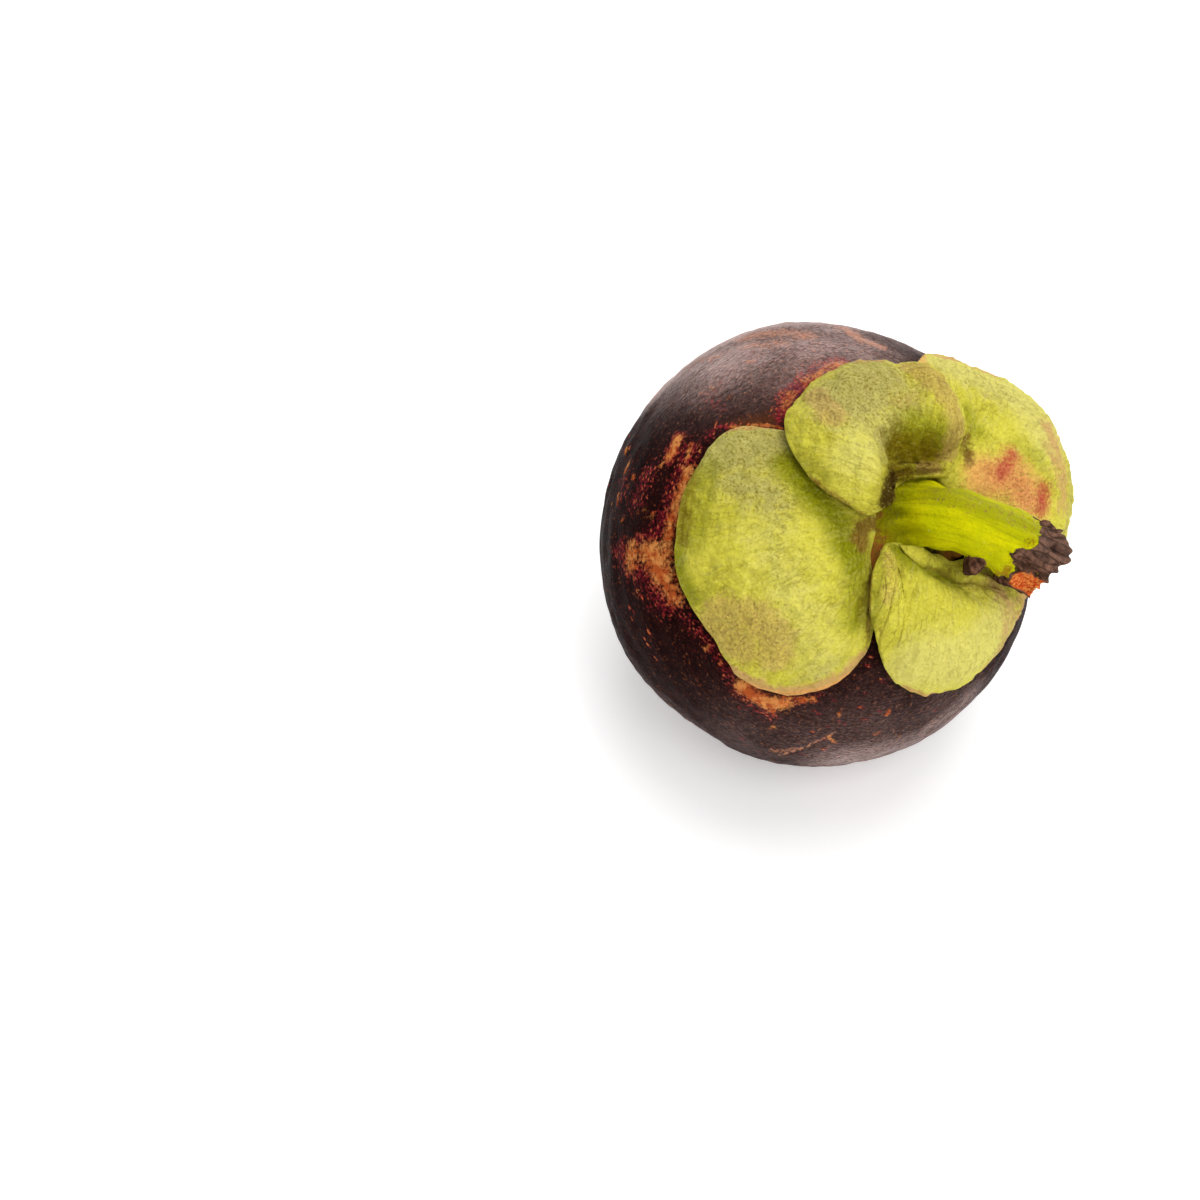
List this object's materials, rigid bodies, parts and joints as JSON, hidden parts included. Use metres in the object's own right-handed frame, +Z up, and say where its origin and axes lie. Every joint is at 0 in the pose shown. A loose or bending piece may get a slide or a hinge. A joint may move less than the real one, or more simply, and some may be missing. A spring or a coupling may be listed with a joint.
{
  "type": "mangosteen fruit",
  "caption": "Whole round dark purple fruit with thick green calyx lobes and a short bent stem, lying tilted on its side.",
  "frame": {"origin": "centre of the small flat spot on the rind that the fruit rests on", "axes": "+Z up from that spot; the stem end leans 40.8 degrees from +Z towards the direction 49.5 degrees from +X to -Y, so -Y is the side of the calyx's large front sepal and +X the side the stem points to"},
  "size_m": [0.0634, 0.059, 0.0596],
  "materials": {
    "rind": "dark purple-brown leathery fruit skin with a soft sheen, fine wrinkles and rusty flecks",
    "calyx": "yellow-green thick leathery sepal with a fine grain, brown mottling and a thin brown rim",
    "stem": "smooth lime-green young bark, dark brown and rough at the torn end",
    "stigma": "dry brown woody flower remnant"
  },
  "bodies": {
    "root": {"rind": "rind", "sepal_inner_left": "calyx", "sepal_inner_right": "calyx", "sepal_outer_top": "calyx", "sepal_outer_bottom": "calyx", "stem": "stem", "stigma_rosette": "stigma"}
  },
  "joints": []
}
